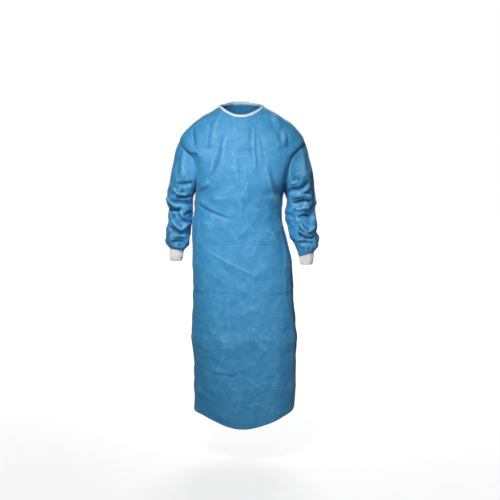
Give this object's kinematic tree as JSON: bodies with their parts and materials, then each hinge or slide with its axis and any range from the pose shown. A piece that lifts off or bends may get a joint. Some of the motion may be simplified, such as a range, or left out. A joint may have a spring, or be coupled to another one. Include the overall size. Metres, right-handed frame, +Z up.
{
  "type": "surgical gown",
  "caption": "Long-sleeved surgical gown in worn pose, hollow, with round bound neck, dropped set-in sleeves, ribbed cuffs and a wrapped back tied at the waist.",
  "frame": {"origin": "middle of the neck opening, at the height where the gown rests beside the wearer's neck", "axes": "+Z up, -Y to the front, +X to the wearer's left arm"},
  "size_m": [0.6656, 0.3175, 1.399],
  "materials": {
    "gown_cloth": "soft nonwoven with a faint sheen and fine mottling",
    "ribbed_knit": "matt rib knit",
    "binding_tape": "matt folded tape"
  },
  "bodies": {
    "root": {"front_panel": "gown_cloth", "back_panel_left": "gown_cloth", "back_panel_right": "gown_cloth", "sleeve_left": "gown_cloth", "sleeve_right": "gown_cloth", "cuff_left": "ribbed_knit", "cuff_right": "ribbed_knit", "neck_binding": "binding_tape", "neck_tab": "binding_tape", "waist_tie_left": "gown_cloth", "waist_tie_right": "gown_cloth", "waist_knot": "gown_cloth", "tie_tail_left": "gown_cloth", "tie_tail_right": "gown_cloth"}
  },
  "joints": []
}
